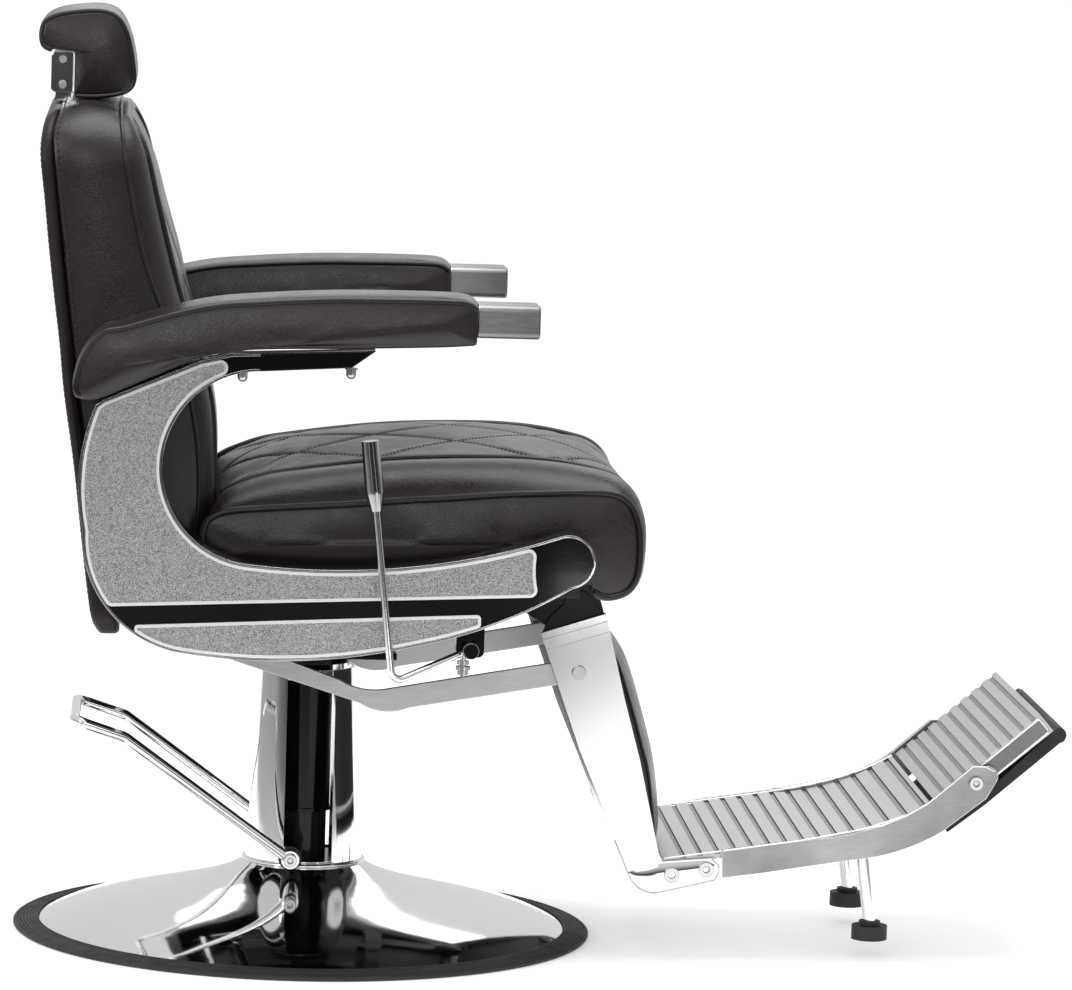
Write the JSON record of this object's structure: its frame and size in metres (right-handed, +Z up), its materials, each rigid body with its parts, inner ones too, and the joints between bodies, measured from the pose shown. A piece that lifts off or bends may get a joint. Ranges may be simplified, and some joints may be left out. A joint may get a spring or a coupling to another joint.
{
  "type": "hydraulic barber chair",
  "caption": "Reclining barber chair with a padded seat, backrest, headrest and arm pads on a pump-lifted column, a round dish base and a swinging leg rest with a folding toe plate.",
  "frame": {"origin": "centre of the base on the floor", "axes": "+X to the front of the chair (footrest), +Y to the sitter's left, +Z up"},
  "size_m": [1.1649, 0.6755, 1.032],
  "materials": {
    "leather": "soft satin, fine grain, dark espresso brown",
    "leather_back": "satin, plain back cover",
    "chrome": "polished",
    "gloss_black": "high gloss",
    "hammered_silver": "hammered, sparkling",
    "bright_rim": "polished raised rim",
    "satin_steel": "satin grey",
    "cast_aluminium": "fine matt casting",
    "rubber": "matt",
    "black_steel": "semi gloss",
    "zinc": "bright plated",
    "brass": "machined",
    "grey_nylon": "matt",
    "painted_board": "matte"
  },
  "bodies": {
    "base": {"base_ring": "rubber", "base_dish": "chrome", "pump_foot": "black_steel", "dish_clamp_ring": "black_steel", "pump_cylinder": "black_steel", "ram_bush": "brass", "column_shroud": "chrome", "pedal_lugs": "black_steel", "pedal_bolts": "zinc"},
    "pedal": {"pedal_bar": "chrome"},
    "lift": {"ram": "chrome", "ram_sleeve": "black_steel", "sleeve_lip": "black_steel", "top_flange": "black_steel", "swivel_bearing": "grey_nylon"},
    "seat": {"swivel_plate": "black_steel", "seat_frame": "black_steel", "back_ears": "black_steel", "leg_hubs": "black_steel", "pivot_pins": "zinc", "gas_cylinder": "black_steel", "seat_board": "painted_board", "seat_cushion": "leather", "side_panel_left": "gloss_black", "side_panel_right": "gloss_black", "panel_trims": "chrome", "panel_inlays": "hammered_silver", "inlay_rims": "bright_rim", "arm_pad_left": "leather", "arm_pad_right": "leather", "arm_ends": "chrome", "arm_screws": "zinc", "lever_bracket": "black_steel"},
    "backrest": {"back_board": "leather_back", "back_cushion": "leather", "back_brackets": "black_steel", "recline_cross_bar": "zinc", "post_guide": "black_steel"},
    "headrest_post": {"headrest_post": "chrome"},
    "headrest": {"headrest_cushion": "leather", "headrest_channel": "chrome", "headrest_bolts": "zinc"},
    "leg_rest": {"leg_plates": "chrome", "leg_lugs": "black_steel", "calf_board": "painted_board", "calf_pad": "leather", "toe_cross_tube": "black_steel", "footrest_deck": "cast_aluminium", "footrest_rails": "cast_aluminium", "toe_bolts": "zinc", "foot_posts": "chrome", "foot_pads": "rubber", "flip_bolts": "zinc"},
    "link": {"link_bars": "satin_steel"},
    "toe_plate": {"flip_plate": "cast_aluminium", "flip_pad": "rubber"},
    "lever": {"lever_rod": "chrome", "lever_grip": "chrome", "lever_adjuster": "zinc"},
    "strut_rod": {"gas_rod": "zinc"}
  },
  "joints": [
    {"name": "lift_slide", "type": "slide", "parent": "base", "child": "lift", "axis": [0, 0, 1], "range_m": [0, 0.16]},
    {"name": "swivel", "type": "hinge", "parent": "lift", "child": "seat", "pos_m": [0, 0, 0.32], "axis": [0, 0, 1], "continuous": true},
    {"name": "backrest_recline", "type": "hinge", "parent": "seat", "child": "backrest", "pos_m": [-0.14, 0, 0.426], "axis": [0, -1, 0], "range_deg": [0, 40]},
    {"name": "leg_swing", "type": "hinge", "parent": "seat", "child": "leg_rest", "pos_m": [0.29, 0, 0.395], "axis": [0, -1, 0], "range_deg": [0, 40]},
    {"name": "link_swing", "type": "hinge", "parent": "leg_rest", "child": "link", "pos_m": [0.292, 0, 0.322], "axis": [0, -1, 0], "range_deg": [-40, 0]},
    {"name": "strut_slide", "type": "slide", "parent": "seat", "child": "strut_rod", "axis": [1, 0, 0], "range_m": [0, 0.052]},
    {"name": "headrest_height", "type": "slide", "parent": "backrest", "child": "headrest_post", "axis": [-0.129, 0, 0.9916], "range_m": [0, 0.1]},
    {"name": "headrest_tilt", "type": "hinge", "parent": "headrest_post", "child": "headrest", "pos_m": [-0.29, 0, 0.946], "axis": [0, -1, 0], "range_deg": [0, 12]},
    {"name": "toe_plate_fold", "type": "hinge", "parent": "leg_rest", "child": "toe_plate", "pos_m": [0.737, 0, 0.208], "axis": [0, -1, 0], "range_deg": [0, 150]},
    {"name": "pedal_press", "type": "hinge", "parent": "base", "child": "pedal", "pos_m": [-0.017, 0, 0.091], "axis": [0, -1, 0], "range_deg": [0, 25], "stiffness_Nm_per_rad": 30, "springref_deg": -14.32},
    {"name": "lever_pull", "type": "hinge", "parent": "seat", "child": "lever", "pos_m": [0.166, 0, 0.358], "axis": [0, -1, 0], "range_deg": [0, 12], "stiffness_Nm_per_rad": 8, "springref_deg": -17.19}
  ],
  "couplings": [
    {"joint": "leg_swing", "follows": "backrest_recline", "ratio": 1},
    {"joint": "link_swing", "follows": "backrest_recline", "ratio": -1},
    {"joint": "strut_slide", "follows": "backrest_recline", "m_per_rad": 0.0745}
  ]
}
